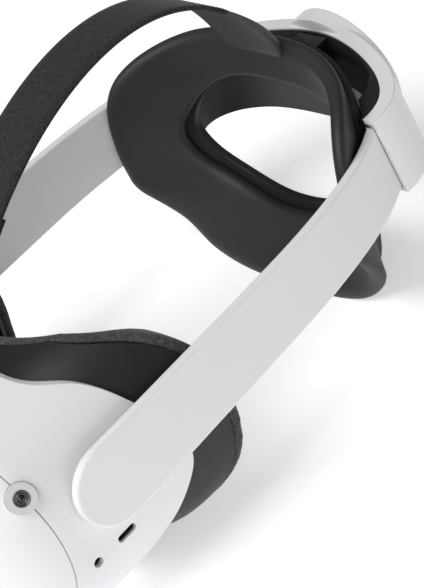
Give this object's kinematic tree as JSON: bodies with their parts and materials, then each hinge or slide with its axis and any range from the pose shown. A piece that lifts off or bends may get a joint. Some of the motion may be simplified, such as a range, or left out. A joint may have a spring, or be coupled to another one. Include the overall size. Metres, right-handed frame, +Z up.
{
  "type": "vr headset",
  "caption": "Standalone head-worn display with rounded visor, face pad, two rigid side arms, rear fit-wheel housing, halo ring pad and cloth top strap.",
  "frame": {"origin": "centre of the footprint at the lowest point, where the visor and halo stand on a table", "axes": "+Z up, -Y out of the visor's front, +X to the wearer's left, +Y runs back along the head"},
  "size_m": [0.19, 0.291, 0.1569],
  "materials": {
    "white_shell": "fine matt moulding",
    "dark_plastic": "satin moulding",
    "face_foam": "soft foam under knit cloth",
    "pad_rubber": "soft satin skin",
    "tongue_rubber": "smooth moulded rubber",
    "strap_cloth": "brushed woven cloth",
    "lens_clear": "polished",
    "camera_glass": "dark polished",
    "camera_ring": "smooth gloss",
    "steel": "fine turned",
    "aluminium": "bead blasted",
    "circuit": "solder mask",
    "screen": "gloss",
    "battery_wrap": "film wrap",
    "led_lens": "diffusing",
    "acetal": "machined"
  },
  "bodies": {
    "visor": {"main_shell": "white_shell", "front_cover": "white_shell", "camera_bezel_side_left": "camera_ring", "camera_bezel_side_right": "camera_ring", "camera_bezel_top_left": "camera_ring", "camera_bezel_top_right": "camera_ring", "camera_lens_side_left": "camera_glass", "camera_lens_side_right": "camera_glass", "camera_lens_top_left": "camera_glass", "camera_lens_top_right": "camera_glass", "usb_port": "steel", "audio_jack": "dark_plastic", "status_led": "led_lens", "rocker_pivot": "steel", "hinge_boss_left": "acetal", "hinge_boss_right": "acetal", "strap_anchor": "dark_plastic", "facial_frame": "dark_plastic", "face_foam": "face_foam", "lens_shroud": "dark_plastic", "optics_chassis": "dark_plastic", "ipd_rail_upper": "steel", "ipd_rail_lower": "steel", "display_panel": "screen", "proximity_sensor": "screen", "mainboard": "circuit", "heat_sink": "aluminium", "battery_pack": "battery_wrap", "fan_housing": "dark_plastic", "chassis_screws": "steel"},
    "left_optics": {"lens_barrel_left": "dark_plastic", "lens_left": "lens_clear"},
    "right_optics": {"lens_barrel_right": "dark_plastic", "lens_right": "lens_clear"},
    "fan": {"fan_rotor": "dark_plastic"},
    "button": {"power_button": "white_shell"},
    "rocker": {"volume_rocker": "white_shell"},
    "left_arm": {"arm_left": "white_shell", "top_strap_front": "strap_cloth"},
    "right_arm": {"arm_right": "white_shell"},
    "rear_unit": {"rear_housing": "white_shell", "housing_liner": "dark_plastic", "halo_pad": "pad_rubber", "halo_core": "dark_plastic", "halo_bracket_centre": "dark_plastic", "halo_bracket_left": "dark_plastic", "halo_bracket_right": "dark_plastic", "strap_tongue": "tongue_rubber", "top_strap_rear": "strap_cloth"},
    "wheel": {"fit_wheel": "dark_plastic", "wheel_shaft": "steel", "pinion": "acetal"},
    "left_rack": {"rack_left": "acetal"},
    "right_rack": {"rack_right": "acetal"}
  },
  "joints": [
    {"name": "arm_left_tilt", "type": "hinge", "parent": "visor", "child": "left_arm", "pos_m": [0.092, -0.0915, 0.065], "axis": [1, 0, 0], "range_deg": [-12, 20]},
    {"name": "arm_right_tilt", "type": "hinge", "parent": "visor", "child": "right_arm", "pos_m": [-0.092, -0.0915, 0.065], "axis": [1, 0, 0], "range_deg": [-12, 20]},
    {"name": "rear_slide", "type": "slide", "parent": "left_arm", "child": "rear_unit", "axis": [0, 1, 0], "range_m": [0, 0.0028]},
    {"name": "fit_wheel_turn", "type": "hinge", "parent": "rear_unit", "child": "wheel", "pos_m": [0, 0.1415, 0.06], "axis": [0, 1, 0], "range_deg": [-0.5, 27]},
    {"name": "rack_left_slide", "type": "slide", "parent": "rear_unit", "child": "left_rack", "axis": [1, 0, 0], "range_m": [-0.0001, 0.0029]},
    {"name": "rack_right_slide", "type": "slide", "parent": "rear_unit", "child": "right_rack", "axis": [1, 0, 0], "range_m": [-0.0029, 0.0001]},
    {"name": "ipd_left_slide", "type": "slide", "parent": "visor", "child": "left_optics", "axis": [1, 0, 0], "range_m": [-0.0025, 0.0025]},
    {"name": "ipd_right_slide", "type": "slide", "parent": "visor", "child": "right_optics", "axis": [1, 0, 0], "range_m": [-0.0025, 0.0025]},
    {"name": "fan_spin", "type": "hinge", "parent": "visor", "child": "fan", "pos_m": [0.027, -0.1375, 0.057], "axis": [0, 1, 0], "continuous": true},
    {"name": "power_button_press", "type": "slide", "parent": "visor", "child": "button", "axis": [1, 0, 0], "range_m": [0, 0.0008], "stiffness_N_per_m": 400},
    {"name": "volume_rocker_tilt", "type": "hinge", "parent": "visor", "child": "rocker", "pos_m": [0.0383, -0.111, 0.0098], "axis": [0, 1, 0], "range_deg": [-2, 2], "stiffness_Nm_per_rad": 0.4}
  ],
  "couplings": [
    {"joint": "arm_right_tilt", "follows": "arm_left_tilt", "ratio": 1},
    {"joint": "fit_wheel_turn", "follows": "rear_slide", "rad_per_m": 166.67},
    {"joint": "rack_left_slide", "follows": "rear_slide", "ratio": 1},
    {"joint": "rack_right_slide", "follows": "rear_slide", "ratio": -1},
    {"joint": "ipd_right_slide", "follows": "ipd_left_slide", "ratio": -1}
  ]
}
